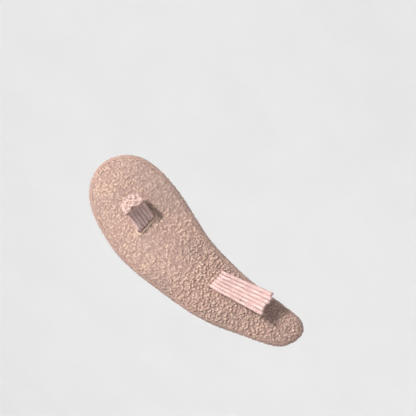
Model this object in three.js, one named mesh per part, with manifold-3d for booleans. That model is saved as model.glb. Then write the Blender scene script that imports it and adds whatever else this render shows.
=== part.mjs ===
// A hammer toe crest pad, built as a standalone three.js model in millimetres.
//
// The pad is a crescent of soft suede: a face panel and a domed crest cover, glued edge to edge
// round a felt core. One ribbed elastic band goes through two slits and round the middle toe. Both
// of its ends come out on the face that is turned to the ground.
//
// X runs along the pad from its wide end to its narrow end. The face looks to -Y and the toe lies
// on the +Y side. +Z points to the heel and the toes point to -Z. The origin is the middle of the
// loop that the toe goes through.

import * as THREE from 'three';
import { mergeVertices } from 'three/addons/utils/BufferGeometryUtils.js';
import Module from 'manifold-3d';

const wasm = await Module();
wasm.setup();

// The pad
const padLength = 69.6;
const padWidth = 24.6;
const coreRise = 5.5;        // the felt's height over the pad's widest level, under the toe
const coreEdge = 0.5;        // rounding of the felt's edge
const faceCrown = 1.2;       // how far the face bulges in the middle
const seamTurn = 58;         // degrees round the edge, from the side to the face, to the seam
const leather = 1.2;
const gap = 0.3;             // between pieces that touch

// The elastic band
const bandWidth = 6.35;
const bandThick = 1.15;
const ribDepth = 0.17;
const slitSpacing = 23.8;
const toeHeight = 16.5;      // from the crest to the inside of the band
const shortHeading = 14.5;   // degrees that the short end turns to the heel
const longHeading = 15.3;    // degrees that the long end turns to the heel
const shortLean = 77;        // degrees between the short end and straight out of its slit
const shortBend = 1.3;       // radius at the middle of the band
const shortRun = 5.6;
const curlTurn = 130;        // degrees that the tip of the short end curls back
const curlBend = 1.2;
const curlRun = 2.7;
const longLean = 80;
const longBend = 1.3;
const longRun = 4.0;
const liftTurn = 8;          // degrees by which the long end rises again
const liftBend = 44;
const liftRun = 3.5;

// Shares and counts
const loopPlace = 0.448;     // share of the length between the wide end and the loop's middle
const loopAcross = 0.003;    // share of the width between the loop's middle and the pad's
const slitStep = 0.044;      // share of the width that the second slit lies nearer to the heel
const crestFullness = 2.3;   // 2 is an ellipse and a higher number is squarer
const wideSpineEnd = 0.16;   // shares of the length at which the ridge of the pad ends
const narrowSpineEnd = 0.92;
const outlineSteps = 60;
const edgeSteps = 3;
const lipSteps = 2;
const crownSteps = 3;
const domeSteps = 6;
const loopSteps = 16;
const ribs = 6;

// The outline, seen from the face, and the height of the crest. along is a share of the length from
// the wide end. toeEdge and heelEdge are shares of the width from the middle. rise is a share of
// the core's height.
const sections = [
  { along: 0.000, toeEdge: 0.093, heelEdge: 0.093, rise: 0.30 },
  { along: 0.033, toeEdge: -0.167, heelEdge: 0.337, rise: 0.38 },
  { along: 0.093, toeEdge: -0.313, heelEdge: 0.463, rise: 0.52 },
  { along: 0.184, toeEdge: -0.423, heelEdge: 0.500, rise: 0.72 },
  { along: 0.284, toeEdge: -0.490, heelEdge: 0.463, rise: 0.90 },
  { along: 0.399, toeEdge: -0.499, heelEdge: 0.370, rise: 0.99 },
  { along: 0.500, toeEdge: -0.478, heelEdge: 0.287, rise: 0.99 },
  { along: 0.615, toeEdge: -0.447, heelEdge: 0.250, rise: 0.90 },
  { along: 0.716, toeEdge: -0.384, heelEdge: 0.244, rise: 0.76 },
  { along: 0.816, toeEdge: -0.278, heelEdge: 0.262, rise: 0.58 },
  { along: 0.902, toeEdge: -0.183, heelEdge: 0.283, rise: 0.42 },
  { along: 0.967, toeEdge: -0.081, heelEdge: 0.268, rise: 0.32 },
  { along: 1.000, toeEdge: 0.138, heelEdge: 0.138, rise: 0.26 },
];

// The band's width as a share of its full width: pinched in the slits and spread at the cut ends
const pinch = 0.90;
const shortSpread = 0.88;
const longSpread = 1.04;
const longSquare = 0.7;      // share of its heading by which the long end's cut is turned

// What follows from these
const cover = leather + gap;
const faceEdge = coreEdge + cover;
const bandRadius = slitSpacing / 2;
const crestLevel = bandRadius - bandThick / 2 - toeHeight;
const sideLevel = crestLevel - coreRise - cover;
const wideTip = -padLength * loopPlace;
const middleZ = padWidth * loopAcross;
const slitZ = padWidth * slitStep / 2;

const radians = THREE.MathUtils.degToRad;

// The value at a place on a smooth line through rows of [place, value]
function smooth(rows, place) {
  const last = rows.length - 2;
  let k = 0;
  while (k < last && place > rows[k + 1][0]) k += 1;
  const slope = (i) => {
    const a = rows[Math.max(i - 1, 0)];
    const b = rows[Math.min(i + 1, rows.length - 1)];
    return (b[1] - a[1]) / (b[0] - a[0]);
  };
  const span = rows[k + 1][0] - rows[k][0];
  const t = (place - rows[k][0]) / span;
  return (1 + 2 * t) * (1 - t) ** 2 * rows[k][1] + t * (1 - t) ** 2 * span * slope(k)
    + t * t * (3 - 2 * t) * rows[k + 1][1] - t * t * (1 - t) * span * slope(k + 1);
}

// A turn of 0 is the wide tip and half a turn is the narrow tip, by way of the toe edge
const full = 2 * Math.PI;
const turnAt = (along) => Math.acos(1 - 2 * along);
const toeRows = sections.map((row) => [turnAt(row.along), row.toeEdge]);
const heelRows = sections.slice(1, -1).reverse().map((row) => [full - turnAt(row.along), row.heelEdge]);
const once = [...toeRows, ...heelRows];
const outlineRows = [
  ...once.slice(-3).map(([turn, edge]) => [turn - full, edge]),
  ...once,
  ...once.slice(0, 3).map(([turn, edge]) => [turn + full, edge]),
];
const riseRows = sections.map((row) => [row.along, row.rise]);

function outlineAt(turn) {
  const x = wideTip + padLength * (1 - Math.cos(turn)) / 2;
  return { x, z: middleZ + padWidth * smooth(outlineRows, turn) };
}

// The ridge of the pad runs midway between the edges and stops short of the round ends
function ridgeAt(x) {
  const along = THREE.MathUtils.clamp((x - wideTip) / padLength, wideSpineEnd, narrowSpineEnd);
  const toe = outlineAt(turnAt(along));
  const heel = outlineAt(full - turnAt(along));
  return { x: toe.x, z: (toe.z + heel.z) / 2, half: (heel.z - toe.z) / 2 };
}

const riseAt = (x) => {
  const along = THREE.MathUtils.clamp((x - wideTip) / padLength, 0, 1);
  return coreRise * smooth(riseRows, along);
};

const widestHalf = padWidth / 2;
const crownAt = (ridge) => faceCrown * ridge.half / widestHalf;

// The face's level where the band comes out of a slit
function faceAt(x, z) {
  const ridge = ridgeAt(x);
  const share = Math.min(Math.abs(z - ridge.z) / (ridge.half - faceEdge), 1);
  return sideLevel - faceEdge - crownAt(ridge) * (1 - share * share);
}

// One closed ring round the pad. place says, for the ridge and the half width there, how far out
// the ring lies and its level.
function ring(place) {
  const points = [];
  for (let i = 0; i < outlineSteps; i += 1) {
    const edge = outlineAt(full * i / outlineSteps);
    const ridge = ridgeAt(edge.x);
    const half = Math.hypot(edge.x - ridge.x, edge.z - ridge.z);
    const share = place.share(half);
    const x = ridge.x + (edge.x - ridge.x) * share;
    const z = ridge.z + (edge.z - ridge.z) * share;
    points.push(new THREE.Vector3(x, place.level(x, ridge), z));
  }
  return points;
}

// The rings round the edge, for a surface that lies depth inside the skin. A turn of 0 degrees is
// the side of the pad and 90 is its face.
function edgeRings(depth, fromTurn, toTurn, steps) {
  const radius = faceEdge - depth;
  const rings = [];
  for (let i = 0; i <= steps; i += 1) {
    const a = radians(THREE.MathUtils.lerp(fromTurn, toTurn, i / steps));
    rings.push(ring({
      share: (half) => 1 - (faceEdge - radius * Math.cos(a)) / half,
      level: () => sideLevel - radius * Math.sin(a),
    }));
  }
  return rings;
}

// The rings of the crowned face, from the edge's end to the ridge
function crownRings(depth) {
  const rings = [];
  for (let i = 1; i <= crownSteps; i += 1) {
    const out = 1 - i / crownSteps;
    rings.push(ring({
      share: (half) => (1 - faceEdge / half) * out,
      level: (x, ridge) => sideLevel - faceEdge + depth - crownAt(ridge) * (1 - out * out),
    }));
  }
  return rings;
}

// The rings of the crest, from the side of the pad to the ridge
function crestRings(depth) {
  const rings = [];
  for (let i = 1; i <= domeSteps; i += 1) {
    const a = i / domeSteps * Math.PI / 2;
    const out = i < domeSteps ? Math.cos(a) ** (2 / crestFullness) : 0;
    const up = Math.sin(a) ** (2 / crestFullness);
    rings.push(ring({
      share: (half) => (1 - depth / half) * out,
      level: (x) => sideLevel + (riseAt(x) + cover - depth) * up,
    }));
  }
  return rings;
}

// How far a leather edge stops short of the seam, in degrees round the edge
const seamHalf = (depth) => THREE.MathUtils.radToDeg(Math.asin(gap / 2 / (faceEdge - depth)));

// The two sides of a leather piece from its edge at the seam to the ridge
const faceSide = (depth) => [
  ...edgeRings(depth, seamTurn + seamHalf(depth), 90, lipSteps),
  ...crownRings(depth),
];
const crestSide = (depth) => [
  ...edgeRings(depth, seamTurn - seamHalf(depth), 0, edgeSteps),
  ...crestRings(depth),
];

// One closed geometry from rings that start and end on the ridge
function skin(rings) {
  const count = rings[0].length;
  const positions = rings.flat().flatMap((p) => [p.x, p.y, p.z]);
  const faces = [];
  for (let r = 0; r + 1 < rings.length; r += 1) {
    for (let i = 0; i < count; i += 1) {
      const j = (i + 1) % count;
      const a = r * count + i;
      const b = r * count + j;
      const c = (r + 1) * count + j;
      const d = (r + 1) * count + i;
      faces.push([a, c, b], [a, d, c]);
    }
  }
  return closedGeometry(positions, faces);
}

// Shared corners merged and flat triangles left out
function closedGeometry(positions, faces) {
  const raw = new THREE.BufferGeometry();
  raw.setAttribute('position', new THREE.Float32BufferAttribute(positions, 3));
  raw.setIndex(faces.flat());
  const merged = mergeVertices(raw);
  const index = Array.from(merged.index.array);
  const kept = [];
  for (let i = 0; i < index.length; i += 3) {
    const [a, b, c] = index.slice(i, i + 3);
    if (a !== b && b !== c && c !== a) kept.push(a, b, c);
  }
  merged.setIndex(kept);
  return merged;
}

function toSolid(geometry) {
  const plain = geometry.clone();
  plain.deleteAttribute('normal');
  plain.deleteAttribute('uv');
  const merged = mergeVertices(plain);
  return new wasm.Manifold(new wasm.Mesh({
    numProp: 3,
    vertProperties: new Float32Array(merged.attributes.position.array),
    triVerts: new Uint32Array(merged.index.array),
  }));
}

function fromSolid(solid) {
  const mesh = solid.getMesh();
  const geometry = new THREE.BufferGeometry();
  geometry.setAttribute('position', new THREE.BufferAttribute(mesh.vertProperties, 3));
  geometry.setIndex(new THREE.BufferAttribute(mesh.triVerts, 1));
  return geometry;
}

// The two slits run along Z. heading is the way that the band's end goes from there, and square is
// the turn of its cut from the slit's own direction.
const slits = [
  { x: -bandRadius, z: -slitZ, heading: radians(180 - shortHeading), square: radians(shortHeading) },
  { x: bandRadius, z: slitZ, heading: radians(longHeading), square: radians(-longHeading * longSquare) },
];
const [shortSlit, longSlit] = slits;

// A leather or felt piece with both slits cut through it
function withSlits(geometry) {
  const depth = 4 * (coreRise + faceEdge + cover + faceCrown);
  let solid = toSolid(geometry);
  for (const slit of slits) {
    const box = new THREE.BoxGeometry(bandThick + 2 * gap, depth, bandWidth * pinch + 2 * gap);
    box.translate(slit.x, sideLevel, slit.z);
    solid = solid.subtract(toSolid(box));
  }
  return fromSolid(solid);
}

// The band's way out of a slit and onwards, as stops with a place, the direction of the band there
// and its width. Each leg is a bend or a straight run, and wide and square are shares at its end. A
// lean of 0 is straight out of the face.
function wayOut(slit, legs) {
  const ahead = new THREE.Vector3(Math.cos(slit.heading), 0, Math.sin(slit.heading));
  const at = new THREE.Vector3(slit.x, faceAt(slit.x, slit.z), slit.z);
  const stops = [];
  let lean = 0;
  const direction = () => ahead.clone().multiplyScalar(Math.sin(lean)).setY(-Math.cos(lean));
  const stop = (wide, square) => {
    const across = new THREE.Vector3(Math.sin(slit.square * square), 0, Math.cos(slit.square * square));
    stops.push({ at: at.clone(), along: direction(), across, wide });
  };
  let before = { wide: pinch, square: 0 };
  stop(before.wide, before.square);
  for (const leg of legs) {
    for (let i = 1; i <= leg.steps; i += 1) {
      const turn = radians(leg.turn ?? 0) / leg.steps;
      const chord = leg.bend ? 2 * leg.bend * Math.sin(Math.abs(turn) / 2) : leg.run / leg.steps;
      lean += turn / 2;
      at.addScaledVector(direction(), chord);
      lean += turn / 2;
      const share = i / leg.steps;
      stop(
        THREE.MathUtils.lerp(before.wide, leg.wide, share),
        THREE.MathUtils.lerp(before.square, leg.square, share),
      );
    }
    before = leg;
  }
  return stops;
}

// The loop, from the long end's slit over the toe to the short end's slit
function loopStops() {
  const stops = [];
  const across = new THREE.Vector3(0, 0, 1);
  for (let i = 0; i <= loopSteps; i += 1) {
    const a = Math.PI * i / loopSteps;
    const along = new THREE.Vector3(-Math.sin(a), Math.cos(a), 0);
    const at = new THREE.Vector3(
      bandRadius * Math.cos(a),
      bandRadius * Math.sin(a),
      slitZ * Math.cos(a),
    );
    stops.push({ at, along, across, wide: THREE.MathUtils.lerp(pinch, 1, Math.sin(a)) });
  }
  return stops;
}

// The whole band, from the cut end of the long side to the tip of the short side
function bandStops() {
  const shortEnd = wayOut(shortSlit, [
    { turn: shortLean, bend: shortBend, steps: 5, wide: pinch, square: 0.2 },
    { run: shortRun, steps: 3, wide: shortSpread, square: 1 },
    { turn: -curlTurn, bend: curlBend, steps: 6, wide: shortSpread, square: 1 },
    { run: curlRun, steps: 1, wide: shortSpread, square: 1 },
  ]);
  const longEnd = wayOut(longSlit, [
    { turn: longLean, bend: longBend, steps: 5, wide: pinch, square: 0.1 },
    { run: longRun, steps: 1, wide: 0.94, square: 0.4 },
    { turn: -liftTurn, bend: liftBend, steps: 3, wide: 1, square: 0.8 },
    { run: liftRun, steps: 2, wide: longSpread, square: 1 },
  ]);
  const inward = longEnd.reverse().map((stop) => ({ ...stop, along: stop.along.negate() }));
  return [...inward, ...loopStops(), ...shortEnd];
}

// The band's section: across runs from -0.5 to 0.5 of the width, thick is the half thickness
function ribbedSection() {
  const points = [];
  for (let i = 0; i <= 2 * ribs; i += 1) {
    const crown = i % 2 === 1;
    points.push({ across: i / (2 * ribs) - 0.5, thick: bandThick / 2 - (crown ? 0 : ribDepth) });
  }
  return points;
}

function bandGeometry(stops) {
  const section = ribbedSection();
  const side = section.length;
  const count = 2 * side;
  const positions = [];
  for (const stop of stops) {
    const out = new THREE.Vector3().crossVectors(stop.across, stop.along).normalize();
    const corner = (point, sign) => {
      const p = stop.at.clone()
        .addScaledVector(stop.across, point.across * bandWidth * stop.wide)
        .addScaledVector(out, sign * point.thick);
      positions.push(p.x, p.y, p.z);
    };
    section.forEach((point) => corner(point, 1));
    [...section].reverse().forEach((point) => corner(point, -1));
  }
  const faces = [];
  for (let s = 0; s + 1 < stops.length; s += 1) {
    for (let i = 0; i < count; i += 1) {
      const j = (i + 1) % count;
      const a = s * count + i;
      const b = s * count + j;
      faces.push([a, b, b + count], [a, b + count, a + count]);
    }
  }
  const last = (stops.length - 1) * count;
  for (let i = 0; i + 1 < side; i += 1) {
    const below = count - 1 - i;
    faces.push([i, below, below - 1], [i, below - 1, i + 1]);
    faces.push([last + i, last + i + 1, last + below - 1], [last + i, last + below - 1, last + below]);
  }
  return closedGeometry(positions, faces);
}

function material(colour, roughness) {
  return new THREE.MeshStandardMaterial({ color: colour, roughness, metalness: 0 });
}

const suede = material(0xc7a89d, 0.9);
const suedeBack = material(0xc2a497, 0.9);
const felt = material(0xd9cfc2, 1.0);
const elastic = material(0xe9c8c2, 0.8);

function piece(name, geometry, finish) {
  const mesh = new THREE.Mesh(geometry, finish);
  mesh.name = name;
  return mesh;
}

// The panel that is turned to the ground, from the middle of its outside to the middle of its inside
function facePanel() {
  const rings = [...faceSide(0).reverse(), ...faceSide(leather)];
  return piece('face_panel', withSlits(skin(rings)), suede);
}

// The domed cover that fills the hollow behind the bent toes and turns in to the face all round
function crestCover() {
  const rings = [...crestSide(leather).reverse(), ...crestSide(0)];
  return piece('crest_cover', withSlits(skin(rings)), suedeBack);
}

// The felt that fills both
function feltCore() {
  const face = [...edgeRings(cover, 0, 90, edgeSteps), ...crownRings(cover)];
  return piece('felt_core', withSlits(skin([...face.reverse(), ...crestRings(cover)])), felt);
}

function toeStrap() {
  return piece('toe_strap', bandGeometry(bandStops()), elastic);
}

const crestPad = new THREE.Group();
crestPad.name = 'toe_crest_pad';
crestPad.add(facePanel(), crestCover(), feltCore(), toeStrap());

export default crestPad;
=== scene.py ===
import math

import bpy
import numpy as np
from mathutils import Matrix, Vector
from mathutils.kdtree import KDTree


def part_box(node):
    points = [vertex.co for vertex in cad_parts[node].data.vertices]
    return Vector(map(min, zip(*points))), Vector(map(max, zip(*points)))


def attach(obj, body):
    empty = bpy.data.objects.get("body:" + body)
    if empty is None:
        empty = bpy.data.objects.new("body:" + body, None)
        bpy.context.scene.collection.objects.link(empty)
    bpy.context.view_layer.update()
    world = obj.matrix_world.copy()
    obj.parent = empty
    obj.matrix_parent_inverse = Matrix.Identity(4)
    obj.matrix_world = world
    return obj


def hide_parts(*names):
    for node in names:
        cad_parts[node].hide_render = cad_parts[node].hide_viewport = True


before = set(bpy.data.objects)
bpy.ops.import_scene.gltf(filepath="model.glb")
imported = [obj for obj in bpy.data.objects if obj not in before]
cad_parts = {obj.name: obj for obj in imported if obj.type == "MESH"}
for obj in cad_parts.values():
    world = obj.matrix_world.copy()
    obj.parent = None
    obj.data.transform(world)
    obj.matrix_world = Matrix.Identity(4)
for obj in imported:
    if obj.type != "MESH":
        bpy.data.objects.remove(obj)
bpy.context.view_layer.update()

# Lengths are in millimetres down to the meshes, which are in metres.
MM = 0.001

# The pad, as in its solids
EDGE = 2.0              # rounding between the side of the pad and its face
CROWN = 1.2
CORE_RISE = 5.5
LEATHER = 1.2
COVER = 1.5             # leather and the gap under it
SEAM_TURN = 58.0        # degrees round the edge, from the side to the face, to the seam
CREST_FULLNESS = 2.3
RIDGE_ENDS = (0.16, 0.92)   # shares of the length where the ridge starts and ends

# The elastic band, as in its solid
BAND_WIDTH = 6.35
BAND_THICK = 1.15
SLIT_SPACING = 23.8
TOE_HEIGHT = 16.5
SLIT_STEP = 0.044       # share of the pad's width that the second slit lies nearer to the heel
SHORT_HEADING = 14.5    # degrees that each end turns to the heel
LONG_HEADING = 15.3
LONG_SQUARE = 0.7       # share of its heading by which the long end's cut is turned
PINCH = 0.90            # share of the band's width in the slits
RIBS = 6

# The radius of the band's middle line over the toe, and the level where the pad is widest
BAND_RADIUS = SLIT_SPACING / 2
SIDE = BAND_RADIUS - BAND_THICK / 2 - TOE_HEIGHT - CORE_RISE - COVER

# The outline, seen from the face, and the height of the crest: share of the length from the wide
# end, both edges as shares of the width from its middle, and the rise as a share of the core's.
SECTIONS = (
    # along, toe edge, heel edge, rise
    (0.000, 0.093, 0.093, 0.30),
    (0.033, -0.167, 0.337, 0.38),
    (0.093, -0.313, 0.463, 0.52),
    (0.184, -0.423, 0.500, 0.72),
    (0.284, -0.490, 0.463, 0.90),
    (0.399, -0.499, 0.370, 0.99),
    (0.500, -0.478, 0.287, 0.99),
    (0.615, -0.447, 0.250, 0.90),
    (0.716, -0.384, 0.244, 0.76),
    (0.816, -0.278, 0.262, 0.58),
    (0.902, -0.183, 0.283, 0.42),
    (0.967, -0.081, 0.268, 0.32),
    (1.000, 0.138, 0.138, 0.26),
)

# The seam and the cut edges of the leather
LIP = 0.24              # rounding of a leather edge at the seam
SEAM_HALF = 0.02        # between a leather edge and the middle of the seam
SLOT_SIDES = 0.05       # room beside the band in a slit
SLOT_ENDS = 0.22        # room past the band's edges in a slit
SLOT_WAVER = 0.13       # how far the edge of a slit wavers
SHARP = math.radians(55)    # edges that turn more than this stay crisp

# The suede: how high its grain stands, and soft patches of the face, each with its middle in X
# and Z and its half sizes: a worn patch of weaker grain, a patch toward the heel side of the wide
# end with weaker grain that is also painted greyer as painted shade, and a patch of painted light
# at the wide end
FACE_GRAIN = 0.55
COVER_GRAIN = 0.27
WORN = ((-3, -4), (8, 4))
WEAK_GRAIN_AND_SHADE = ((-20, 9.5), (10, 5))
PAINTED_LIGHT_PATCH = ((-24, -5), (9, 7))

# How finely the visible surfaces are made
ROUND_STEPS = 1060
LIP_ROWS = 4
EDGE_ROWS = 8
FACE_ROWS = 72
DOME_ROWS = 60
INNER_ROWS = 4
ROW_LENGTH = 0.16       # between the band's sections
RIB_POINTS = 8

SEED = 11
VECTORS = 256           # random vectors that one noise picks from


def smooth(rows, at):
    """The values at places on a smooth line through rows of (place, value)."""
    place, value = np.array(rows, float).T
    slope = np.gradient(value, place)
    slope[1:-1] = (value[2:] - value[:-2]) / (place[2:] - place[:-2])
    k = np.clip(np.searchsorted(place, at, side="right") - 1, 0, len(place) - 2)
    span = place[k + 1] - place[k]
    t = (at - place[k]) / span
    return (
        (1 + 2 * t) * (1 - t) ** 2 * value[k]
        + t * (1 - t) ** 2 * span * slope[k]
        + t * t * (3 - 2 * t) * value[k + 1]
        - t * t * (1 - t) * span * slope[k + 1]
    )


def unit_vectors(seed):
    """Random unit vectors for one noise."""
    rng = np.random.default_rng(seed)
    v = rng.normal(size=(VECTORS, 3))
    return v / np.linalg.norm(v, axis=1)[:, None]


def pick(cell):
    """Which of the vectors each cell of a grid gets, mixed so that neighbours differ."""
    key = (cell[:, 0] * 73856093) ^ (cell[:, 1] * 19349663) ^ (cell[:, 2] * 83492791)
    return (key ^ (key >> 13)) % VECTORS


def noise(points, size, seed=SEED):
    """Gradient noise from about -1 to 1 whose lumps are about size across."""
    gradients = unit_vectors(seed)
    p = points / size
    cell = np.floor(p).astype(np.int64)
    f = p - cell
    w = f * f * f * (f * (f * 6 - 15) + 10)
    total = np.zeros(len(points))
    for corner in np.ndindex(2, 2, 2):
        away = f - corner
        side = np.where(corner, w, 1 - w).prod(axis=1)
        total += side * np.einsum("ij,ij->i", gradients[pick(cell + corner)], away)
    return total * 1.6


def pebbles(points, size, seed):
    """Round lumps at random places about size apart, from 1 at their middles to 0 between them."""
    shifts = unit_vectors(seed)
    p = points / size
    cell = np.floor(p).astype(np.int64)
    nearest = np.full(len(points), np.inf)
    for corner in np.ndindex(3, 3, 3):
        at = cell + corner - 1
        away = p - at - 0.5 - 0.4 * shifts[pick(at)]
        np.minimum(nearest, np.einsum("ij,ij->i", away, away), out=nearest)
    return 1 - between(0.15, 0.80, np.sqrt(nearest))


def between(low, high, value):
    """0 below low, 1 above high and a smooth step between them."""
    t = np.clip((value - low) / (high - low), 0, 1)
    return t * t * (3 - 2 * t)


class Outline:
    """The pad's outline and ridge, sampled so that both edges share their places along X."""

    def __init__(self):
        low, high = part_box("crest_cover")
        self.length = (high[0] - low[0]) / MM
        self.tip = low[0] / MM
        full = 2 * math.pi
        toe = [(math.acos(1 - 2 * row[0]), row[1]) for row in SECTIONS]
        heel = [(full - math.acos(1 - 2 * row[0]), row[2]) for row in SECTIONS[-2:0:-1]]
        once = toe + heel
        before = [(turn - full, share) for turn, share in once[-3:]]
        after = [(turn + full, share) for turn, share in once[:3]]
        self.rows = before + once + after
        turns = np.linspace(0, full, ROUND_STEPS, endpoint=False)
        shares = smooth(self.rows, turns)
        self.width = (high[2] - low[2]) / MM / (shares.max() - shares.min())
        self.middle = low[2] / MM - self.width * shares.min()
        self.x, self.z = self.at(turns)
        self.ridge_x, self.ridge_z, middle_half = self.ridge(self.x)
        self.half = np.hypot(self.x - self.ridge_x, self.z - self.ridge_z)
        self.crown = CROWN * middle_half / (self.width / 2)

    def at(self, turns):
        """Points of the outline. A turn of 0 is the wide end and pi the narrow one."""
        x = self.tip + self.length * (1 - np.cos(turns)) / 2
        return x, self.middle + self.width * smooth(self.rows, turns)

    def ridge(self, x):
        """The points of the ridge nearest to X, and half the pad's width at them."""
        along = np.clip((x - self.tip) / self.length, *RIDGE_ENDS)
        turns = np.arccos(1 - 2 * along)
        ridge_x, toe = self.at(turns)
        heel = self.at(2 * math.pi - turns)[1]
        return ridge_x, (toe + heel) / 2, (heel - toe) / 2

    def rise(self, x):
        """How high the core rises over the pad's widest level at X."""
        along = np.clip((x - self.tip) / self.length, 0, 1)
        return CORE_RISE * smooth([(row[0], row[3]) for row in SECTIONS], along)

    def row(self, share, level):
        """One ring of points. level is given X."""
        x = self.ridge_x + (self.x - self.ridge_x) * share
        z = self.ridge_z + (self.z - self.ridge_z) * share
        return np.stack([x, np.broadcast_to(level(x), x.shape), z], axis=1)

    def edge_row(self, turn, depth=0.0):
        """A ring on the rounded edge. A turn of 0 is the side of the pad and half pi its face."""
        radius = EDGE - depth
        share = 1 - (EDGE - radius * math.cos(turn)) / self.half
        return self.row(share, lambda x: SIDE - radius * math.sin(turn))

    def crown_row(self, out, depth=0.0):
        """A ring on the face, from 0 at its ridge to 1 at the rounded edge."""
        share = (1 - EDGE / self.half) * out
        level = SIDE - EDGE + depth - self.crown * (1 - out * out)
        return self.row(share, lambda x: level)

    def dome_row(self, turn, depth=0.0):
        """A ring on the dome. A turn of 0 is the side of the pad and half pi its ridge."""
        out = max(math.cos(turn), 0) ** (2 / CREST_FULLNESS)
        up = math.sin(turn) ** (2 / CREST_FULLNESS)
        share = (1 - depth / self.half) * (out if turn < math.pi / 2 - 1e-6 else 0)
        return self.row(share, lambda x: SIDE + (self.rise(x) + COVER - depth) * up)

    def face_level(self, x, z):
        """The level of the face at points near the middle of the pad."""
        ridge_x, ridge_z, half = self.ridge(np.atleast_1d(x))
        share = np.minimum(np.abs(z - ridge_z) / (half - EDGE), 1)
        return SIDE - EDGE - CROWN * half / (self.width / 2) * (1 - share * share)


outline = Outline()


class Slit:
    """A slit along Z: its middle, the way that the band's end goes on and the turn of its cut."""

    def __init__(self, x, z, heading, square):
        self.x = x
        self.z = z
        self.ahead = Vector((math.cos(heading), 0, math.sin(heading)))
        self.square = square

    def across(self, share):
        """The direction of the band's width, from along the slit at 0 to square to its way at 1."""
        return Vector((math.sin(self.square * share), 0, math.cos(self.square * share)))

    def away(self, points):
        """Distances of points from the band in the slit, and which side of it they lie on."""
        through = points[:, 0] - self.x
        beyond = np.maximum(np.abs(points[:, 2] - self.z) - BAND_WIDTH * PINCH / 2, 0)
        return np.hypot(np.maximum(np.abs(through) - BAND_THICK / 2, 0), beyond), through


def make_slits():
    """The short end's slit and the long end's."""
    step = outline.width * SLIT_STEP / 2
    short = math.radians(SHORT_HEADING)
    long = math.radians(LONG_HEADING)
    return (
        Slit(-BAND_RADIUS, -step, math.pi - short, short),
        Slit(BAND_RADIUS, step, long, -long * LONG_SQUARE),
    )


short_slit, long_slit = make_slits()


def merged(points):
    """Points without repeats, where each point went, and which point each of them was."""
    _, first, where = np.unique(np.round(points, 5), axis=0, return_index=True, return_inverse=True)
    return points[first], where.ravel(), first


def add_floats(mesh, floats):
    """One number a point for each name in floats, for the materials to read."""
    for name, values in floats.items():
        made = mesh.attributes.new(name, "FLOAT", "POINT")
        made.data.foreach_set("value", values.astype(np.float32))


def mesh_object(name, points, faces, material):
    """A smooth mesh object from points in millimetres."""
    mesh = bpy.data.meshes.new(name)
    mesh.from_pydata((points * MM).tolist(), [], faces)
    mesh.materials.append(material)
    mesh.shade_smooth()
    obj = bpy.data.objects.new(name, mesh)
    bpy.context.scene.collection.objects.link(obj)
    return obj


def ring_faces(rows, count, where):
    """Faces between rings of count points, where repeated points are one."""
    faces = []
    for r in range(rows - 1):
        for i in range(count):
            j = (i + 1) % count
            corners = (r * count + i, (r + 1) * count + i, (r + 1) * count + j, r * count + j)
            kept = []
            for corner in corners:
                to = int(where[corner])
                if to not in kept:
                    kept.append(to)
            if len(kept) > 2:
                faces.append(kept)
    return faces


def vertex_normals(mesh):
    """The unit normal at each point of a mesh."""
    out = np.empty(len(mesh.vertices) * 3)
    mesh.vertex_normals.foreach_get("vector", out)
    return out.reshape(-1, 3)


def coordinates(mesh):
    """The points of a mesh in millimetres."""
    out = np.empty(len(mesh.vertices) * 3)
    mesh.vertices.foreach_get("co", out)
    return out.reshape(-1, 3) / MM


def grain_height(points):
    """The suede's pebbled grain, from 0 in the pits to 1 on the lumps."""
    warp = np.stack([noise(points, 1.1, SEED + 20 + k) for k in range(3)], axis=1)
    drawn = points * (1, 1, 0.88) + 0.05 * warp
    broad = noise(drawn, 0.45, SEED + 1)
    small = noise(drawn, 0.30, SEED + 2)
    round_ones = pebbles(drawn, 0.70, SEED + 3) - 0.5
    return between(-0.45, 0.55, 0.35 * broad + 0.35 * small + 0.75 * round_ones)


def edge_distance(points):
    """How far points lie from the outline, seen from the face."""
    out = np.full(len(points), np.inf)
    step = 4
    for x, z in zip(outline.x[::step], outline.z[::step]):
        np.minimum(out, np.hypot(points[:, 0] - x, points[:, 2] - z), out=out)
    return out


def near_seam(inside):
    """How much of the grain is left at a distance inside the outline: less at the seam's edges."""
    seam = EDGE * (1 - math.cos(math.radians(SEAM_TURN)))
    return 0.55 + 0.45 * between(0.0, 0.6, np.abs(inside - seam))


def lip_height(points, slit, raised, drawn):
    """How the leather stands up round a slit, on its -X and +X side, and is drawn down at the band."""
    away, through = slit.away(points)
    ragged = 1 + 1.1 * noise(points, 1.2, SEED + 9)
    lump = np.exp(-((away - 0.25) / 0.45) ** 2) * ragged
    side = between(-0.6, 0.6, through)
    return (raised[0] * (1 - side) + raised[1] * side) * lump - drawn * np.exp(-((away / 1.6) ** 2))


def near_slit(points, slit, spread):
    """How close points are to a slit: 1 at the band, fading over the spread."""
    return np.exp(-((slit.away(points)[0] / spread) ** 2))


def slit_cutter(slit, number, material):
    """A long slot a little wider than the band, with round ends and a slightly uneven edge."""
    steps = 28
    below, above = SIDE - 6, SIDE + 14
    levels = np.linspace(below, above, 30)
    half_long = BAND_WIDTH * PINCH / 2 + SLOT_ENDS
    half_wide = BAND_THICK / 2 + SLOT_SIDES
    points = []
    for y in levels:
        for k in range(steps):
            a = 2 * math.pi * k / steps
            across = half_long * np.sign(math.sin(a)) * abs(math.sin(a)) ** 0.35
            through = half_wide * np.sign(math.cos(a)) * abs(math.cos(a)) ** 0.5
            points.append((slit.x + through, y, slit.z + across))
    points = np.array(points)
    waver = noise(points, 0.9, SEED + 30 + number) * SLOT_WAVER
    away = points - (slit.x, 0, slit.z)
    away[:, 1] = 0
    points = points + away / np.linalg.norm(away, axis=1)[:, None] * waver[:, None]
    faces = ring_faces(len(levels), steps, np.arange(len(points)))
    faces.append(list(range(steps)))
    faces.append(list(range(len(points) - 1, len(points) - steps - 1, -1)))
    return mesh_object(f"cutter_{number}", points, faces, material)


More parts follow.
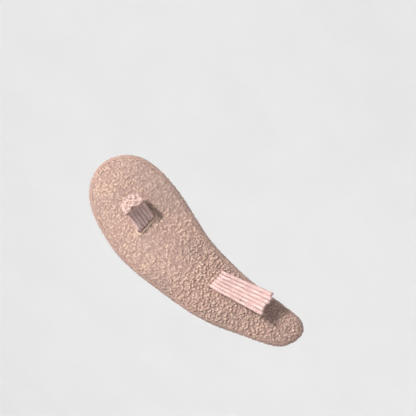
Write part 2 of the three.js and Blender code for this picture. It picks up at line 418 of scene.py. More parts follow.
def cut_slits(obj):
    """Both slits cut through a leather piece."""
    for number, slit in enumerate((short_slit, long_slit)):
        cutter = slit_cutter(slit, number, obj.data.materials[0])
        turn_out(cutter.data)
        cut = obj.modifiers.new("slit", "BOOLEAN")
        cut.operation = "DIFFERENCE"
        cut.solver = "MANIFOLD"
        cut.object = cutter
        bpy.context.view_layer.update()
        ready = obj.evaluated_get(bpy.context.evaluated_depsgraph_get())
        made = bpy.data.meshes.new_from_object(ready)
        obj.modifiers.clear()
        obj.data = made
        cutter_mesh = cutter.data
        bpy.data.objects.remove(cutter)
        bpy.data.meshes.remove(cutter_mesh)
    obj.data.name = obj.name


def turn_out(mesh):
    """Faces pointing out, judged by the mesh's signed volume."""
    mesh.calc_loop_triangles()
    points = coordinates(mesh)
    corners = np.empty(len(mesh.loop_triangles) * 3, dtype=np.int32)
    mesh.loop_triangles.foreach_get("vertices", corners)
    a, b, c = points[corners.reshape(-1, 3)].transpose(1, 0, 2)
    if np.einsum("ij,ij->i", a, np.cross(b, c)).sum() < 0:
        mesh.flip_normals()


class Swell:
    """How the padded skin swells: a coarse skin, ten times the pad's size, held at its edge and
    round the slits and blown up a little as cloth. Its moves are capped and handed to the leather."""

    SCALE = 10.0
    STEP = 10           # every tenth point of a ring is used
    FACE_RINGS = 9
    EDGE_RINGS = 4
    DOME_RINGS = 12
    FRAMES = 20
    CAP = 0.35          # no move is longer
    HELD_AT_EDGE = 1.6  # width of the glued edge that stays
    HELD_AT_SLIT = 1.3
    NEIGHBOURS = 10     # coarse points that a move is taken from
    REACH = 1.3         # how fast their share fades with distance

    def __init__(self):
        quarter = math.pi / 2
        face, edge, dome = self.FACE_RINGS, self.EDGE_RINGS, self.DOME_RINGS
        rings = [outline.crown_row(k / face) for k in range(face)]
        rings += [outline.edge_row(quarter * (1 - k / edge)) for k in range(edge + 1)]
        rings += [outline.dome_row(quarter * k / dome) for k in range(1, dome + 1)]
        count = ROUND_STEPS // self.STEP
        points, where, _ = merged(np.concatenate([ring[:: self.STEP] for ring in rings]))
        faces = ring_faces(len(rings), count, where)
        skin = mesh_object("skin", points * self.SCALE, faces, suede_face)
        turn_out(skin.data)
        start = coordinates(skin.data) / self.SCALE
        self.hold(skin, start)
        end = self.blow(skin) / self.SCALE
        self.moves = end - start
        length = np.linalg.norm(self.moves, axis=1)
        self.moves *= (self.CAP * np.tanh(length / self.CAP) / np.maximum(length, 1e-9))[:, None]
        self.tree = KDTree(len(start))
        for k, point in enumerate(start):
            self.tree.insert(point, k)
        self.tree.balance()

    def hold(self, skin, points):
        """The glued edge and the leather round the slits stay where they are."""
        below_side = points[:, 1] < SIDE + 0.1
        held = below_side & (edge_distance(points) < self.HELD_AT_EDGE)
        for slit in (short_slit, long_slit):
            held |= slit.away(points)[0] < self.HELD_AT_SLIT
        group = skin.vertex_groups.new(name="held")
        group.add(np.flatnonzero(held).tolist(), 1.0, "REPLACE")

    def blow(self, skin):
        """The skin's points after the simulation."""
        cloth = skin.modifiers.new("cloth", "CLOTH")
        settings = cloth.settings
        settings.vertex_group_mass = "held"
        settings.use_pressure = True
        settings.uniform_pressure_force = 20.0
        settings.tension_stiffness = 8.0
        settings.compression_stiffness = 8.0
        settings.shear_stiffness = 4.0
        settings.bending_stiffness = 0.5
        settings.effector_weights.gravity = 0.0
        scene = bpy.context.scene
        for number in range(1, self.FRAMES + 1):
            scene.frame_set(number)
        made = skin.evaluated_get(bpy.context.evaluated_depsgraph_get()).to_mesh()
        end = coordinates(made)
        mesh = skin.data
        bpy.data.objects.remove(skin)
        bpy.data.meshes.remove(mesh)
        scene.frame_set(1)
        return end

    def at(self, points):
        """The smooth move of each point, from the coarse points near it."""
        out = np.empty_like(points)
        for k, point in enumerate(points):
            near = self.tree.find_n(point, self.NEIGHBOURS)
            share = np.array([math.exp(-((away / self.REACH) ** 2)) + 1e-6 for _, _, away in near])
            out[k] = share @ self.moves[[number for _, number, _ in near]] / share.sum()
        return out


def leather_piece(name, outer, inner, material, relief):
    """A leather shell from its outer and inner rings, both from the seam to the ridge."""
    rings = [*reversed(outer), *inner]
    points = np.concatenate(rings)
    outside = np.zeros(len(points))
    outside[: len(outer) * ROUND_STEPS] = 1
    kept, where, first = merged(points)
    faces = ring_faces(len(rings), ROUND_STEPS, where)
    obj = mesh_object(name, kept + swell.at(kept), faces, material)
    turn_out(obj.data)
    points = coordinates(obj.data)
    height, floats = relief(points)
    moved = points + vertex_normals(obj.data) * (height * outside[first])[:, None]
    obj.data.vertices.foreach_set("co", (moved * MM).ravel())
    add_floats(obj.data, floats)
    obj.data.update()
    cut_slits(obj)
    obj.data.shade_smooth()
    obj.data.set_sharp_from_angle(angle=SHARP)
    return obj


def seam_rows(sign):
    """The rounded leather edge at the seam, from inside the groove to the surface."""
    rows = []
    for k in range(LIP_ROWS + 1):
        a = math.pi / 2 * k / LIP_ROWS
        run = SEAM_HALF + LIP * (1 - math.cos(a))
        depth = LIP * (1 - math.sin(a))
        rows.append(outline.edge_row(math.radians(SEAM_TURN) + sign * run / EDGE, depth))
    return rows


def edge_rows(start, stop, count, depth=0.0):
    """Rings round the edge after start, up to stop."""
    turns = [start + (stop - start) * k / count for k in range(1, count + 1)]
    return [outline.edge_row(turn, depth) for turn in turns]


def patch(points, middle, size):
    """A soft oval patch of the face: 1 at its middle in X and Z, fading over its half sizes."""
    x, z = (points[:, ::2] - middle).T / np.array(size)[:, None]
    return np.exp(-x * x - z * z)


def face_relief(points):
    """Height and colour masks of the face: its grain is weak at the wide end and where it is worn. The
    masks also hold a patch of painted light at the wide end, a patch of weaker grain and painted shade
    toward the heel side of the wide end, and pale raw leather round the slits that is painted light where
    the short end shades it.
    """
    grain = grain_height(points)
    inside = edge_distance(points)
    body = between(0.3, 2.2, inside)
    along = (points[:, 0] - outline.tip) / outline.length
    strong = 0.50 + 0.48 * between(0.30, 0.60, along) - 0.22 * between(0.78, 0.96, along)
    # A patch toward the heel side of the wide end with weaker grain, also painted greyer as painted
    # shade.
    weak_grain_and_shade = patch(points, *WEAK_GRAIN_AND_SHADE)
    strong = strong - 0.42 * patch(points, *WORN) - 0.16 * weak_grain_and_shade
    billow = noise(points, 9.0, SEED + 5) * 0.16 + noise(points, 4.0, SEED + 6) * 0.05
    height = (grain - 0.5) * FACE_GRAIN * strong * near_seam(inside) + billow * body
    height += lip_height(points, short_slit, (0.0, 0.78), 0.05)
    height += lip_height(points, long_slit, (0.12, -0.05), 0.08)
    # Pale raw leather round the slits; round the short end's slit it spreads wide as painted light over
    # the shade that the band casts there.
    raw_and_painted_light = np.maximum(near_slit(points, short_slit, 0.75), near_slit(points, long_slit, 0.25))
    # Painted light: a patch at the wide end that is painted lighter.
    painted_light = patch(points, *PAINTED_LIGHT_PATCH)
    return height, {"grain": grain, "band": 1 - body, "raw_and_painted_light": raw_and_painted_light, "painted_light": painted_light, "weak_grain_and_shade": weak_grain_and_shade}


def cover_relief(points):
    """Height and colour masks of the cover: finer and softer than the face, with slow waves."""
    grain = grain_height(points * 1.15)
    dome = between(SIDE - 1.0, SIDE + 1.5, points[:, 1])
    billow = noise(points, 10.0, SEED + 7) * 0.22 + noise(points, 4.5, SEED + 8) * 0.07
    strong = COVER_GRAIN - 0.05 * dome
    height = (grain - 0.5) * strong * near_seam(edge_distance(points)) + billow * dome
    for slit in (short_slit, long_slit):
        height += lip_height(points, slit, (0.10, 0.10), 0.22) * dome
    raw_and_painted_light = np.maximum(near_slit(points, short_slit, 0.6), near_slit(points, long_slit, 0.6)) * dome
    return height, {"grain": grain, "band": 1 - dome, "raw_and_painted_light": raw_and_painted_light}


def make_face():
    """The grained suede panel that is turned to the ground."""
    seam = math.radians(SEAM_TURN)
    start = seam + (SEAM_HALF + LIP) / EDGE
    outer = seam_rows(1) + edge_rows(start, math.pi / 2, EDGE_ROWS)
    outer += [outline.crown_row(1 - k / FACE_ROWS) for k in range(1, FACE_ROWS + 1)]
    inner = edge_rows(seam + SEAM_HALF / EDGE, math.pi / 2, 2, LEATHER)
    inner += [outline.crown_row(1 - k / INNER_ROWS, LEATHER) for k in range(1, INNER_ROWS + 1)]
    obj = leather_piece("face_suede", outer, inner, suede_face, face_relief)
    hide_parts("face_panel")
    return obj


def make_cover():
    """The domed suede cover, turned in to the face all round."""
    seam = math.radians(SEAM_TURN)
    start = seam - (SEAM_HALF + LIP) / EDGE
    outer = seam_rows(-1) + edge_rows(start, 0, EDGE_ROWS)
    outer += [outline.dome_row(math.pi / 2 * k / DOME_ROWS) for k in range(1, DOME_ROWS + 1)]
    inner = edge_rows(seam - SEAM_HALF / EDGE, 0, 3, LEATHER)
    turns = [math.pi / 2 * k / INNER_ROWS for k in range(1, INNER_ROWS + 1)]
    inner += [outline.dome_row(turn, LEATHER) for turn in turns]
    obj = leather_piece("crest_suede", outer, inner, suede_cover, cover_relief)
    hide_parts("crest_cover")
    return obj


# The way out of a slit, leg by leg: a turn in degrees on a bend's radius, or a straight run. wide,
# square and bow are shares at the end of each leg, and bow is how far the band's sides stand up.
# The short end is 0.5 mm longer than in its solid and slightly wider.
SHORT_WAY = (
    # turn, bend, run, wide, square, bow
    (77, 1.3, 0, PINCH, 0.2, 0.6),
    (0, 0, 5.9, 0.93, 1.0, 1.0),
    (-130, 1.2, 0, 0.94, 1.0, 0.5),
    (0, 0, 2.9, 0.96, 1.0, 0.2),
)
LONG_WAY = (
    # turn, bend, run, wide, square, bow
    (80, 1.3, 0, PINCH, 0.1, 0.1),
    (0, 0, 4.0, 0.94, 0.4, 0.1),
    (-8, 44, 0, 1.00, 0.8, 0.1),
    (0, 0, 3.5, 1.04, 1.0, 0.2),
)
BOW = 1.1               # how far the band's edges stand above its middle at a bow of 1


class Stop:
    """A section of the band: its middle, the band's direction and width there, and its bow."""

    def __init__(self, at, along, across, wide, bow):
        self.at = at
        self.along = along
        self.across = across
        self.wide = wide
        self.bow = bow
        self.out = across.cross(along).normalized()


def way_out(slit, legs):
    """The band's stops from a slit's mouth to its end. A lean of 0 is straight out of the face."""
    at = Vector((slit.x, float(outline.face_level(slit.x, slit.z)[0]), slit.z))
    lean = 0.0
    before = (PINCH, 0.0, 0.0)
    stops = [Stop(at, Vector((0, -1, 0)), slit.across(0), PINCH, 0.0)]
    for turn, bend, run, *after in legs:
        turn = math.radians(turn)
        length = abs(turn) * bend if bend else run
        steps = max(2, round(length / ROW_LENGTH))
        for k in range(1, steps + 1):
            lean += turn / steps / 2
            at = at + direction(slit, lean) * (length / steps)
            lean += turn / steps / 2
            wide, square, bow = (a + (b - a) * k / steps for a, b in zip(before, after))
            stops.append(Stop(at, direction(slit, lean), slit.across(square), wide, bow))
        before = after
    return stops


def direction(slit, lean):
    """The band's direction at a lean from straight out of the face."""
    return slit.ahead * math.sin(lean) + Vector((0, -math.cos(lean), 0))


def straight(start, end):
    """Stops between two others, at equal steps."""
    steps = max(2, round((end.at - start.at).length / ROW_LENGTH))
    stops = []
    for k in range(1, steps):
        at = start.at.lerp(end.at, k / steps)
        stops.append(Stop(at, start.along, start.across, start.wide, 0.0))
    return stops


def loop_stops():
    """The band over the toe, from the long end's slit to the short end's."""
    stops = []
    steps = round(math.pi * BAND_RADIUS / ROW_LENGTH)
    for k in range(steps + 1):
        a = math.pi * k / steps
        along = Vector((-math.sin(a), math.cos(a), 0))
        at = Vector((BAND_RADIUS * math.cos(a), BAND_RADIUS * math.sin(a), long_slit.z * math.cos(a)))
        stops.append(Stop(at, along, Vector((0, 0, 1)), PINCH + (1 - PINCH) * math.sin(a), 0.0))
    return stops


def band_stops():
    """The band from the long end's cut to the short end's slit, and from there to its tip."""
    long_end = [Stop(s.at, -s.along, s.across, s.wide, -s.bow) for s in way_out(long_slit, LONG_WAY)]
    long_end.reverse()
    short_end = way_out(short_slit, SHORT_WAY)
    loop = loop_stops()
    up = straight(long_end[-1], loop[0])
    down = straight(loop[-1], short_end[0])
    return long_end + up + loop + down, short_end


def rise_of_bow(across, bow):
    """How far a bowed band stands up at places across it. The mean is 0."""
    return (4 * across * across - 1 / 3) * BOW * bow


def band_section():
    """Points over one side of the band: place across from -0.5 to 0.5, rib number, place on it."""
    points = []
    for rib in range(RIBS):
        for k in range(RIB_POINTS):
            u = -math.cos(math.pi * k / RIB_POINTS)
            points.append(((rib + (u + 1) / 2) / RIBS - 0.5, rib, u))
    points.append((0.5, RIBS - 1, 1.0))
    return points


# The ribs, the stitches and the cut ends
RIB_DEPTH = 0.30
STITCH = 0.87           # length of one stitch along the band
BEAD = 0.028            # how far a stitch stands up on its rib
BRIDGE = 0.35           # share of a groove that the stitches beside it fill
# Painted light on the short end, which lies in shade: its grooves are painted lighter.
SHORT_END_PAINTED_LIGHT = 0.45           # how far the short end's grooves are as light as its ribs
CUT_THICK = 0.72        # share of the thickness at both cuts
CUT_RAGGED = 0.45       # how far a rib ends before or past the cut, at most
TIP_LENGTH = 5.6        # frayed length of the short end, fully so in its last half
SPECK = (6.4, -2.3)     # a dark speck on the long end: from its cut and from the band's middle
SPECK_SIZE = 0.2
LOOSE_YARNS = (60, 110)     # at the long end's cut and at the short end's
YARN_RADIUS = 0.032
YARN_ROOT = 0.15        # how far inside the cut a loose yarn starts


def tip_share(number, count):
    """How far a stop lies into the short end's frayed tip, from 0 to 1."""
    return float(between(0.0, 0.5, (number - (count - 1)) * ROW_LENGTH / TIP_LENGTH + 1))


def cap_faces(first, side, flip):
    """Faces over a cut end whose ring of twice side points starts at the point first."""
    last = first + 2 * side - 1
    faces = []
    for i in range(side - 1):
        quad = [first + i, first + i + 1, last - 1 - i, last - i]
        faces.append(quad[::-1] if flip else quad)
    return faces


def uneven(points, tip):
    """The band's points with slow waves, and with fine fuzz that is strong on the frayed tip."""
    waves = np.stack([noise(points, 4.0, SEED + 40 + k) for k in range(3)], axis=1) * 0.13
    fuzz = np.stack([noise(points, 0.5, SEED + 50 + k) for k in range(3)], axis=1)
    return points + waves + fuzz * (0.035 + 0.17 * tip)[:, None]


def make_band():
    """The ribbed elastic, one closed piece, with its stitches and slightly uneven cut ends."""
    inward, short_end = band_stops()
    stops = inward + short_end
    across, rib, u = (np.array(column) for column in zip(*band_section()))
    side = len(across)
    rng = np.random.default_rng(SEED)
    odd = np.where(rib % 2, 1.0, -1.0)
    ragged = rng.uniform(-CUT_RAGGED, CUT_RAGGED, (2, RIBS))
    depth = RIB_DEPTH * rng.uniform(0.8, 1.2, RIBS + 1)
    valley = depth[rib + (u > 0)]
    bulge = np.sqrt(np.clip(1 - u * u, 0, 1))
    frayed = [tip_share(s, len(stops)) for s in range(len(stops))]
    rows = []
    lights = []
    runs = []
    run = 0.0
    for s, stop in enumerate(stops):
        if s:
            run += (stop.at - stops[s - 1].at).length
        phase = 2 * math.pi * run / STITCH + odd * (1.1 * u + math.pi / 4)
        bridge = 0.5 + 0.5 * np.cos(2 * phase)
        valleys = valley * (1 - bulge) * (1 - BRIDGE * bridge) * (1 - 0.75 * frayed[s])
        thick = BAND_THICK / 2 - valleys + BEAD * np.cos(phase) * bulge
        reach = np.zeros(side)
        if s in (0, len(stops) - 1):
            thick = thick * CUT_THICK
            reach = ragged[0][rib] if s == 0 else -ragged[1][rib]
        # How light the band is painted across each rib: painted highlight on the crests and beads,
        # painted shade in the grooves.
        light = bulge * bulge + 0.12 * np.cos(phase)
        # Painted light: the short end's grooves are painted nearly as light as its ribs.
        if s >= len(inward):
            light = light + SHORT_END_PAINTED_LIGHT * (1 - light)
        lights += [light, light[::-1]]
        middle = np.array(stop.at) + np.outer(reach, np.array(stop.along))
        middle = middle + np.outer(across * BAND_WIDTH * stop.wide, np.array(stop.across))
        middle = middle + np.outer(rise_of_bow(across, stop.bow), np.array(stop.out))
        rows.append(middle + np.outer(thick, np.array(stop.out)))
        rows.append((middle - np.outer(thick, np.array(stop.out)))[::-1])
        runs.append(run)
    count = 2 * side
    tip = np.repeat(frayed, count)
    points = uneven(np.concatenate(rows), tip)
    faces = ring_faces(len(stops), count, np.arange(len(points)))
    faces += cap_faces(0, side, False)
    faces += cap_faces((len(stops) - 1) * count, side, True)
    along = np.repeat(runs, count)
    beside = np.tile(np.concatenate([across, across[::-1]]) * BAND_WIDTH, len(stops))
    from_speck = np.hypot(along - SPECK[0], beside - SPECK[1])
    obj = mesh_object("toe_elastic", points, faces, elastic)
    add_floats(obj.data, {
        "run": along,
        "tip": tip,
        "speck": np.exp(-((from_speck / SPECK_SIZE) ** 2)),
        "across": beside,
        "rib": np.concatenate(lights),
    })
    turn_out(obj.data)
    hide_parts("toe_strap")
    return obj, stops


def make_fray(stops):
    """Short loose yarn ends at both cuts."""
    rng = np.random.default_rng(SEED + 3)
    points = []
    faces = []
    cuts = ((stops[0], -stops[0].along), (stops[-1], stops[-1].along))
    for (stop, ahead), count in zip(cuts, LOOSE_YARNS):
        for _ in range(count):
            share = rng.uniform(-0.49, 0.49)
            start = stop.at + stop.across * (share * BAND_WIDTH * stop.wide)
            start = start + stop.out * (rng.uniform(-0.4, 0.4) + rise_of_bow(share, stop.bow))
            way = ahead + stop.across * rng.normal(0, 0.45) + stop.out * rng.normal(0, 0.45)
            bend = Vector(rng.normal(0, 0.6, 3))
            length = rng.uniform(0.25, 0.75)
            yarn(points, faces, start - ahead * YARN_ROOT, way.normalized(), bend, length)
    obj = mesh_object("cut_yarn", np.array(points), faces, yarn_end)
    return obj


def yarn(points, faces, start, way, bend, length):
    """One thin bent yarn as a closed three-sided tube."""
    steps = 5
    base = len(points)
    side = way.orthogonal().normalized()
    other = way.cross(side)
    for k in range(steps + 1):
        t = k / steps
        centre = start + way * (length * t) + bend * (length * t * t * 0.4)
        size = YARN_RADIUS * (1 - 0.6 * t)
        for n in range(3):
            a = 2 * math.pi * n / 3
            p = centre + (side * math.cos(a) + other * math.sin(a)) * size
            points.append(tuple(p))
    for k in range(steps):
        for n in range(3):
            a = base + 3 * k + n
            b = base + 3 * k + (n + 1) % 3
            faces.append([a, b, b + 3, a + 3])
    faces.append([base + 2, base + 1, base])
    faces.append([base + 3 * steps, base + 3 * steps + 1, base + 3 * steps + 2])


# Materials

def new_material(name):
    """A material with one shader: the material, its node tree and the shader."""
    material = bpy.data.materials.new(name)
    material.use_nodes = True
    tree = material.node_tree
    tree.nodes.clear()
    output = tree.nodes.new("ShaderNodeOutputMaterial")
    shader = tree.nodes.new("ShaderNodeBsdfPrincipled")
    tree.links.new(shader.outputs["BSDF"], output.inputs["Surface"])
    return material, tree, shader


def node(tree, kind, inputs=None, **settings):
    """A node with its settings, and its inputs as values or as other nodes' outputs."""
    made = tree.nodes.new(kind)
    for key, value in settings.items():
        setattr(made, key, value)
    for key, value in (inputs or {}).items():
        if isinstance(value, bpy.types.NodeSocket):
            tree.links.new(value, made.inputs[key])
        else:
            made.inputs[key].default_value = value
    return made


def object_place(tree):
    """The place in the object's own space, in metres."""
    return node(tree, "ShaderNodeTexCoord").outputs["Object"]


def lumps(tree, size, detail=2.0, rough=0.5, distort=0.0):
    """Noise in object space whose lumps are about size millimetres across."""
    made = node(
        tree,
        "ShaderNodeTexNoise",
        {
            "Vector": object_place(tree),
            "Scale": 1 / (size * MM),
            "Detail": detail,
            "Roughness": rough,
            "Distortion": distort,
        },
    )
    return made.outputs["Fac"]


def point_value(tree, name):
    """One of the numbers that add_floats gave the points."""
    return node(tree, "ShaderNodeAttribute", attribute_name=name).outputs["Fac"]


def spread(tree, value, low, high, to_low=0.0, to_high=1.0):
    """A value between low and high, spread from to_low to to_high."""
    made = node(
        tree,
        "ShaderNodeMapRange",
        {"Value": value, "From Min": low, "From Max": high, "To Min": to_low, "To Max": to_high},
        clamp=True,
    )
    return made.outputs["Result"]


def mix(tree, share, a, b):
    """Colours a and b mixed. Each is a colour or another node's output."""
    made = tree.nodes.new("ShaderNodeMix")
    made.data_type = "RGBA"
    for socket, value in ((made.inputs[0], share), (made.inputs[6], a), (made.inputs[7], b)):
        if isinstance(value, bpy.types.NodeSocket):
            tree.links.new(value, socket)
        elif isinstance(value, tuple):
            socket.default_value = (*value, 1)
        else:
            socket.default_value = value
    return made.outputs[2]


def maths(tree, operation, a, b):
    """The result of a sum or product. Each input is a number or another node's output."""
    return node(tree, "ShaderNodeMath", {0: a, 1: b}, operation=operation).outputs[0]


def bump(tree, height, distance, strength, normal=None):
    """A normal with bumps up to a distance in millimetres, over another normal if there is one."""
    inputs = {"Height": height, "Distance": distance * MM, "Strength": strength}
    if normal is not None:
        inputs["Normal"] = normal
    return node(tree, "ShaderNodeBump", inputs).outputs["Normal"]


def srgb(red, green, blue):
    """A colour given as on the screen, from 0 to 255, as linear values."""
    def linear(value):
        value /= 255
        return value / 12.92 if value <= 0.04045 else ((value + 0.055) / 1.055) ** 2.4
    return linear(red), linear(green), linear(blue)


def suede(name, low, middle, high, grey, pink, raw_and_painted_light):
    """Matt grained suede whose colour follows its grain, lighter on the lumps and darker in the pits,
    partly its own tone and partly painted highlight and painted shade; with large, small and fine
    mottling, painted light and painted shade in patches of the face, and pale raw leather at the slits
    that is partly painted light.
    """
    material, tree, shader = new_material(name)
    grain = point_value(tree, "grain")
    # Lighter on the lumps and darker in the pits: partly the suede's own tone, partly painted highlight
    # on the lumps and painted shade in the pits.
    fine = lumps(tree, 0.40, 3.0, 0.6, 0.4)
    lit = maths(tree, "ADD", maths(tree, "MULTIPLY", grain, 0.60), maths(tree, "MULTIPLY", fine, 0.80))
    colour = mix(tree, spread(tree, lit, 0.18, 0.56), low, middle)
    colour = mix(tree, spread(tree, lit, 0.68, 1.02), colour, high)
    colour = mix(tree, spread(tree, lumps(tree, 9.0, 3.0), 0.42, 0.72, 0.0, 0.45), colour, grey)
    # Painted light: the wide end is painted lighter. Painted shade: the heel side of the wide end is
    # painted greyer.
    colour = mix(tree, maths(tree, "MULTIPLY", point_value(tree, "painted_light"), 0.07), colour, high)
    colour = mix(tree, maths(tree, "MULTIPLY", point_value(tree, "weak_grain_and_shade"), 0.36), colour, grey)
    colour = mix(tree, spread(tree, lumps(tree, 0.6, 1.0), 0.54, 0.72, 0.0, 0.40), colour, pink)
    colour = mix(tree, spread(tree, lumps(tree, 0.7, 1.0), 0.56, 0.74, 0.0, 0.40), colour, grey)
    colour = mix(tree, maths(tree, "MULTIPLY", point_value(tree, "band"), 0.15), colour, middle)
    # Pale raw leather at the slits, partly painted light where the short end shades the leather.
    colour = mix(tree, maths(tree, "MULTIPLY", point_value(tree, "raw_and_painted_light"), 0.75), colour, raw_and_painted_light)
    tree.links.new(colour, shader.inputs["Base Color"])
    tree.links.new(spread(tree, fine, 0.3, 0.7, 0.82, 0.96), shader.inputs["Roughness"])
    shader.inputs["Specular IOR Level"].default_value = 0.22
    shader.inputs["Sheen Weight"].default_value = 0.12
    shader.inputs["Sheen Roughness"].default_value = 0.6
    normal = bump(tree, lumps(tree, 0.60, 2.0, 0.6, 0.4), 0.40, 0.9)
    normal = bump(tree, lumps(tree, 0.13, 2.0, 0.6), 0.03, 0.5, normal)
    tree.links.new(normal, shader.inputs["Normal"])
    return material


def band_noise(tree, across, run, shift, rough):
    """Noise on the band with its own number of lumps a millimetre across it and along it."""
    at = node(
        tree,
        "ShaderNodeCombineXYZ",
        {
            "X": maths(tree, "MULTIPLY", point_value(tree, "across"), across),
            "Y": maths(tree, "MULTIPLY", point_value(tree, "run"), run),
            "Z": shift,
        },
    ).outputs[0]
    made = node(
        tree,
        "ShaderNodeTexNoise",
        {"Vector": at, "Scale": 1.0, "Detail": 2.0, "Roughness": rough},
    )
    return made.outputs["Fac"]


def ribbed_elastic():
    """Pinkish white braid: lighter on the ribs and darker in the grooves, partly painted highlight on the
    ribs and painted shade in the grooves, with painted light on the short end, and with yarns and dull
    streaks.
    """
    material, tree, shader = new_material("ribbed_elastic")
    yarns = band_noise(tree, 1.6, 2.6, 0.0, 0.55)
    streaks = band_noise(tree, 1.3, 0.40, 3.0, 0.5)
    varied = spread(tree, lumps(tree, 2.2), 0.42, 0.58)
    # Darker grooves and light crests: partly the braid's tone, partly painted shade in the grooves and
    # painted highlight on the crests.
    groove_tone_and_shade = mix(tree, varied, srgb(146, 112, 110), srgb(196, 158, 152))
    colour = mix(tree, spread(tree, point_value(tree, "rib"), 0.10, 0.90), groove_tone_and_shade, srgb(241, 216, 210))
    colour = mix(tree, spread(tree, streaks, 0.40, 0.62, 0.0, 0.75), colour, srgb(204, 166, 163))
    colour = mix(tree, spread(tree, yarns, 0.52, 0.78, 0.0, 0.55), colour, srgb(212, 166, 166))
    colour = mix(tree, spread(tree, lumps(tree, 3.0), 0.42, 0.62, 0.0, 0.40), colour, srgb(222, 184, 176))
    loose = spread(tree, lumps(tree, 0.6, 2.0), 0.40, 0.58)
    frayed = mix(tree, loose, srgb(144, 114, 107), srgb(222, 192, 180))
    colour = mix(tree, maths(tree, "MULTIPLY", point_value(tree, "tip"), 0.85), colour, frayed)
    colour = mix(tree, point_value(tree, "speck"), colour, srgb(70, 48, 44))
    tree.links.new(colour, shader.inputs["Base Color"])
    shader.inputs["Roughness"].default_value = 0.72
    shader.inputs["Specular IOR Level"].default_value = 0.3
    shader.inputs["Sheen Weight"].default_value = 0.15
    shader.inputs["Sheen Roughness"].default_value = 0.45
    normal = bump(tree, yarns, 0.10, 0.6)
    normal = bump(tree, lumps(tree, 0.16, 2.0), 0.03, 0.5, normal)
    tree.links.new(normal, shader.inputs["Normal"])
    return material


def soft_fibre(name, colour, other, size):
    """Plain matt fibre in two mixed colours: loose yarn, felt or the paper backdrop."""
    material, tree, shader = new_material(name)
    share = spread(tree, lumps(tree, size, 3.0), 0.35, 0.65)
    tree.links.new(mix(tree, share, colour, other), shader.inputs["Base Color"])
    shader.inputs["Roughness"].default_value = 0.95
    shader.inputs["Specular IOR Level"].default_value = 0.15
    tree.links.new(bump(tree, lumps(tree, size / 3, 3.0), 0.08, 0.6), shader.inputs["Normal"])
    return material


suede_face = suede(
    "suede_face",
    # low is partly painted shade in the pits, high partly painted highlight on the lumps.
    low=srgb(148, 124, 117),
    middle=srgb(192, 159, 147),
    high=srgb(230, 205, 182),
    grey=srgb(166, 149, 142),
    pink=srgb(204, 164, 160),
    # Raw leather colour, also painted light round the short end's slit.
    raw_and_painted_light=srgb(240, 208, 186),
)
suede_cover = suede(
    "suede_cover",
    low=srgb(158, 132, 124),
    middle=srgb(190, 158, 146),
    high=srgb(209, 180, 163),
    grey=srgb(166, 149, 142),
    pink=srgb(202, 162, 157),
    raw_and_painted_light=srgb(214, 182, 160),
)
elastic = ribbed_elastic()
yarn_end = soft_fibre("yarn_end", srgb(240, 220, 214), srgb(222, 186, 180), 0.6)
felt = soft_fibre("felt", srgb(226, 216, 202), srgb(206, 192, 176), 0.8)
paper = soft_fibre("backdrop", (0.90, 0.90, 0.90), (0.88, 0.88, 0.88), 60.0)


def make_core():
    """The hidden felt keeps its solid and gets a felt finish."""
    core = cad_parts["felt_core"]
    core.data.materials.clear()
    core.data.materials.append(felt)


# The stage, the lights and the camera

FLOOR = 180.0           # how far below the loop's middle the floor lies
PHOTO_PIXELS = 416
MM_PER_PIXEL = 0.264
PAD_PIXEL = (192.46, 260.0)
PAD_TILT = 41.0         # degrees that the pad runs down to the right
CAMERA_AZIMUTH = 0.0
CAMERA_ELEVATION = 0.0
LENS = 150.0
SENSOR = 36.0


def make_stage():
    """A wide pale bowl: a flat floor that curves up all round, so that no edge shows behind."""
    flat, curve, wall = 700.0, 600.0, 900.0
    profile = [(0.02, 0.0), (flat, 0.0)]
    bends = 12
    for k in range(1, bends + 1):
        a = math.pi / 2 * k / bends
        profile.append((flat + curve * math.sin(a), curve * (1 - math.cos(a))))
    profile.append((flat + curve, curve + wall))
    steps = 96
    points = []
    for radius, height in profile:
        for k in range(steps):
            a = 2 * math.pi * k / steps
            points.append((radius * math.cos(a), radius * math.sin(a), height - FLOOR))
    faces = ring_faces(len(profile), steps, np.arange(len(points)))
    floor = mesh_object("floor", np.array(points), faces, paper)


def image_axes():
    """The photo's right and up, in the pad's plane."""
    tilt = math.radians(PAD_TILT)
    right = Vector((math.cos(tilt), 0, math.sin(tilt)))
    up = Vector((-math.sin(tilt), 0, math.cos(tilt)))
    return right, up


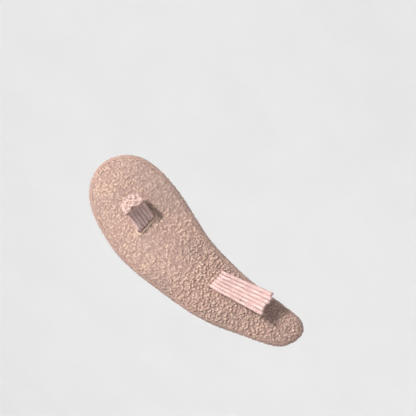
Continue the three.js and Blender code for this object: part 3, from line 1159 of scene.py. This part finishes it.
def make_camera():
    """The photo's view: square on to the face, turned so that the pad runs down to the right."""
    right, up = image_axes()
    middle = PHOTO_PIXELS / 2
    low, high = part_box("crest_cover")
    pad = Vector(((low[0] + high[0]) / 2, SIDE * MM, (low[2] + high[2]) / 2))
    target = pad + right * ((middle - PAD_PIXEL[0]) * MM_PER_PIXEL * MM)
    target += up * ((PAD_PIXEL[1] - middle) * MM_PER_PIXEL * MM)
    distance = PHOTO_PIXELS * MM_PER_PIXEL * MM * LENS / SENSOR
    azimuth = math.radians(CAMERA_AZIMUTH)
    elevation = math.radians(CAMERA_ELEVATION)
    back = Vector((
        math.sin(azimuth) * math.cos(elevation),
        -math.cos(azimuth) * math.cos(elevation),
        math.sin(elevation),
    ))
    data = bpy.data.cameras.new("camera")
    data.lens = LENS
    data.sensor_width = SENSOR
    data.clip_start = 0.01
    camera = bpy.data.objects.new("camera", data)
    side = up.cross(back).normalized()
    over = back.cross(side)
    turn = Matrix((side, over, back)).transposed().to_4x4()
    camera.matrix_world = Matrix.Translation(target + back * distance) @ turn
    bpy.context.scene.collection.objects.link(camera)
    bpy.context.scene.camera = camera
    return target


def make_light(name, at, target, size, power, colour):
    """A round area light at a place, turned to a target. Places and its size are in metres."""
    data = bpy.data.lights.new(name, "AREA")
    data.shape = "DISK"
    data.size = size
    data.energy = power
    data.color = colour
    light = bpy.data.objects.new(name, data)
    light.location = at
    light.rotation_euler = (at - target).to_track_quat("Z", "Y").to_euler()
    light.visible_camera = False
    bpy.context.scene.collection.objects.link(light)


def make_lights(target):
    """A small key beside the pad's wide end, weak fill, one light behind and one on the backdrop."""
    make_light("key", target + Vector((-0.628, -0.64, -0.035)), target, 0.09, 7.6, (1.0, 0.97, 0.95))
    make_light("fill", target + Vector((0.5, -0.8, 0.4)), target, 0.9, 0.15, (0.97, 0.98, 1.0))
    make_light("back", target + Vector((0.3, 0.8, 0.7)), target, 0.7, 1.5, (1.0, 0.99, 0.98))
    make_light("backdrop", Vector((0.0, 0.3, 0.8)), Vector((-0.1, 1.3, -0.1)), 1.0, 4.7, (1.0, 1.0, 1.0))
    world = bpy.data.worlds.new("world")
    world.use_nodes = True
    background = world.node_tree.nodes["Background"]
    background.inputs["Color"].default_value = (0.90, 0.93, 1.0, 1)
    background.inputs["Strength"].default_value = 0.13
    bpy.context.scene.world = world
    bpy.context.scene.view_settings.view_transform = "Standard"


make_lights(make_camera())
make_stage()
swell = Swell()
face = make_face()
cover = make_cover()
band, stops = make_band()
fray = make_fray(stops)
make_core()
for obj in (face, cover, band, fray):
    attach(obj, "root")
